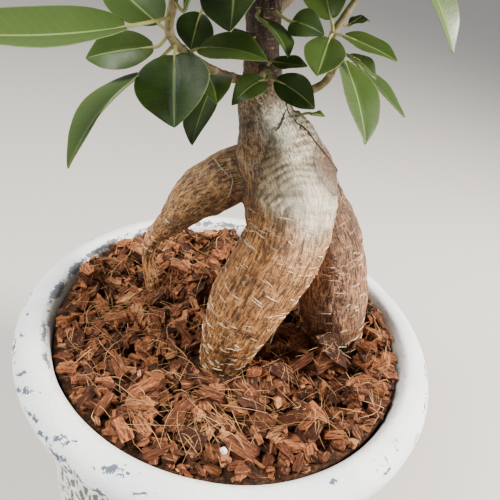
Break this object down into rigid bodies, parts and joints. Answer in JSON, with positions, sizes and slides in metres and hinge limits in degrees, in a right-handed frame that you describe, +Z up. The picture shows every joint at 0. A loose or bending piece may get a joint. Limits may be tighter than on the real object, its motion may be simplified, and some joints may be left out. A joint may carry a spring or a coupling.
{
  "type": "potted ficus bonsai",
  "caption": "Small banyan ficus with swollen standing roots and glossy oval leaves, in a round cement pot topped with coco chips.",
  "frame": {"origin": "on the pot's axis, at the flat underside of the pot", "axes": "+Z up along the pot's axis, -Y to the front of the plant, +X to its right as seen from the front"},
  "size_m": [0.2, 0.2, 0.3759],
  "materials": {
    "cement": "cast cement under chalky off-white paint, rubbed through to blue-grey on the collar's edges",
    "net_plastic": "black net over the drain hole",
    "potting_soil": "dark peat and coir potting mix",
    "coco_chips": "dry reddish-brown coconut husk chips with golden coir fibres",
    "bark": "tan bark with fine lengthwise grain, pale crosswise lenticels and a grey-white wrinkled shoulder",
    "twig_bark": "brown young bark with yellow-green nodes",
    "leaf": "waxy dark green leaf, lighter midrib and paler underside"
  },
  "bodies": {
    "root": {"branch_back_left": "twig_bark", "branch_back_right": "twig_bark", "branch_front": "twig_bark", "branch_front_spur": "twig_bark", "branch_high_left": "twig_bark", "branch_high_right": "twig_bark", "branch_leader": "twig_bark", "branch_left": "twig_bark", "branch_right": "twig_bark", "cement_pot": "cement", "coco_chip_mulch": "coco_chips", "crown_shoot_01": "leaf", "crown_shoot_02": "leaf", "crown_shoot_03": "leaf", "crown_shoot_04": "leaf", "crown_shoot_05": "leaf", "crown_shoot_06": "leaf", "crown_shoot_07": "leaf", "crown_shoot_08": "leaf", "crown_shoot_09": "leaf", "crown_shoot_10": "leaf", "crown_shoot_11": "leaf", "crown_shoot_12": "leaf", "crown_shoot_13": "leaf", "crown_shoot_14": "leaf", "crown_shoot_15": "leaf", "crown_shoot_16": "leaf", "crown_shoot_17": "leaf", "drainage_net": "net_plastic", "leaf_high_dark": "leaf", "leaf_high_right": "leaf", "leaf_left_back": "leaf", "leaf_left_bract": "leaf", "leaf_left_front": "leaf", "leaf_left_glossy": "leaf", "leaf_left_hanging": "leaf", "leaf_left_level": "leaf", "leaf_left_long": "leaf", "leaf_left_low": "leaf", "leaf_left_rising": "leaf", "leaf_left_round": "leaf", "leaf_right_bud": "leaf", "leaf_right_curled": "leaf", "leaf_right_front": "leaf", "leaf_right_hanging": "leaf", "leaf_right_out": "leaf", "leaf_right_rising": "leaf", "leaf_right_small": "leaf", "leaf_stem_folded": "leaf", "leaf_stem_front": "leaf", "leaf_stem_left": "leaf", "leaf_stem_right": "leaf", "leaf_trunk_left": "leaf", "leaf_trunk_right": "leaf", "leaf_trunk_sprout": "leaf", "potting_soil": "potting_soil", "trunk_with_roots": "bark"}
  },
  "joints": []
}
